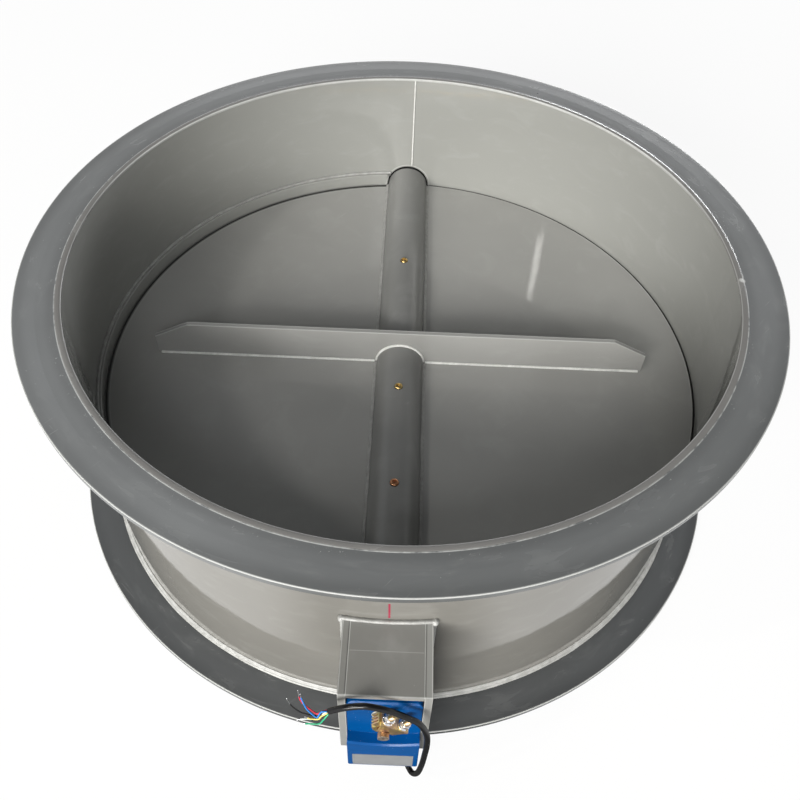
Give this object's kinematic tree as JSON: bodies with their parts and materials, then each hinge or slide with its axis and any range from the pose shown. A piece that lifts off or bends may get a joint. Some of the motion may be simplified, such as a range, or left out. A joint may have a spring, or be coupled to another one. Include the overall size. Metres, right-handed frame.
{
  "type": "motorized duct damper",
  "caption": "Round flanged duct section with a turning disc blade on a cross sleeve, driven by a geared rotary actuator with a shaft clamp and cable in a side bracket.",
  "frame": {"origin": "centre of the lower flange's underside, on the duct's axis", "axes": "+Z along the duct from the lower flange to the upper flange, the blade's axis along Y, the actuator towards -Y"},
  "size_m": [0.9059, 0.9662, 0.356],
  "materials": {
    "wall_plastic": "satin grey polypropylene sheet",
    "flange_plastic": "satin bluish grey polypropylene, scuffed",
    "weld_plastic": "pale welding rod bead",
    "boss_plastic": "satin grey polypropylene",
    "bracket_plastic": "satin grey polypropylene",
    "bush_plastic": "ivory bearing plastic",
    "black_rubber": "black rubber",
    "zinc_screws": "bright zinc",
    "blade_plastic": "satin grey polypropylene",
    "sleeve_plastic": "satin dark grey polypropylene pipe",
    "core_steel": "drawn steel tube",
    "shaft_steel": "brownish plated steel",
    "brass_screws": "brass",
    "blue_housing": "glossy blue plastic",
    "label_white": "blank pale label",
    "yellow_zinc": "yellow passivated zinc",
    "gear_steel": "machined steel",
    "gear_plastic": "natural gear plastic",
    "board_green": "green circuit board",
    "black_plastic": "black plastic",
    "spring_steel": "spring wire",
    "nut_zinc": "bright zinc plated nuts",
    "cable_sheath": "glossy black cable sheath",
    "wire_insulation": "coloured wire insulation"
  },
  "bodies": {
    "casing": {"duct_shell": "wall_plastic", "upper_flange": "flange_plastic", "lower_flange": "flange_plastic", "upper_flange_weld": "weld_plastic", "lower_flange_weld": "weld_plastic", "shell_seam_weld": "weld_plastic", "upper_stop": "wall_plastic", "lower_stop": "wall_plastic", "upper_stop_weld": "weld_plastic", "lower_stop_weld": "weld_plastic", "front_boss": "boss_plastic", "rear_boss": "boss_plastic", "front_bush": "bush_plastic", "rear_bush": "bush_plastic", "shaft_seals": "black_rubber", "rear_cap": "boss_plastic", "rear_cap_screws": "zinc_screws", "bracket_top_plate": "bracket_plastic", "bracket_left_plate": "bracket_plastic", "bracket_right_plate": "bracket_plastic", "bracket_welds": "weld_plastic", "strap_pad": "boss_plastic", "anti_rotation_strap": "zinc_screws", "strap_screws": "zinc_screws", "actuator_base": "blue_housing", "actuator_cover": "blue_housing", "housing_screws": "zinc_screws", "label_plate": "label_white", "hub_bushes": "bush_plastic", "gear_axles": "gear_steel", "gear_plate": "gear_steel", "motor": "gear_steel", "circuit_board": "board_green", "limit_switches": "black_plastic", "release_spring": "spring_steel", "cable_gland": "black_rubber", "cable": "cable_sheath", "cable_conductors": "wire_insulation"},
    "blade": {"blade_left_half": "blade_plastic", "blade_right_half": "blade_plastic", "sleeve_pipe": "sleeve_plastic", "sleeve_welds": "weld_plastic", "cross_rib": "blade_plastic", "rib_welds": "weld_plastic", "core_tube": "core_steel", "front_shaft": "shaft_steel", "rear_shaft": "shaft_steel", "sleeve_screws": "brass_screws", "output_hub": "yellow_zinc", "output_gear": "gear_steel", "limit_cam": "gear_plastic", "clamp_yoke": "yellow_zinc", "clamp_u_bolt": "yellow_zinc", "clamp_nuts": "nut_zinc"},
    "second_gear": {"second_gear": "gear_plastic"},
    "first_gear": {"first_gear": "gear_plastic"},
    "motor_pinion": {"motor_pinion": "gear_steel"},
    "release_button": {"release_button": "black_plastic"}
  },
  "joints": [
    {"name": "blade_turn", "type": "hinge", "parent": "casing", "child": "blade", "pos_m": [0, 0, 0.168], "axis": [0, -1, 0], "range_deg": [0, 90]},
    {"name": "second_gear_turn", "type": "hinge", "parent": "casing", "child": "second_gear", "pos_m": [0, 0, 0.135], "axis": [0, -1, 0], "range_deg": [-405, 0]},
    {"name": "first_gear_turn", "type": "hinge", "parent": "casing", "child": "first_gear", "pos_m": [0, 0, 0.109], "axis": [0, -1, 0], "range_deg": [0, 1350]},
    {"name": "motor_pinion_turn", "type": "hinge", "parent": "casing", "child": "motor_pinion", "pos_m": [0, 0, 0.083], "axis": [0, -1, 0], "range_deg": [-4500, 0]},
    {"name": "release_button_push", "type": "slide", "parent": "casing", "child": "release_button", "axis": [0, 0, 1], "range_m": [0, 0.003], "stiffness_N_per_m": 300, "springref_m": -0.002, "deforming": ["release_spring"]}
  ],
  "couplings": [
    {"joint": "second_gear_turn", "follows": "blade_turn", "ratio": -4.5},
    {"joint": "first_gear_turn", "follows": "blade_turn", "ratio": 15},
    {"joint": "motor_pinion_turn", "follows": "blade_turn", "ratio": -50}
  ]
}
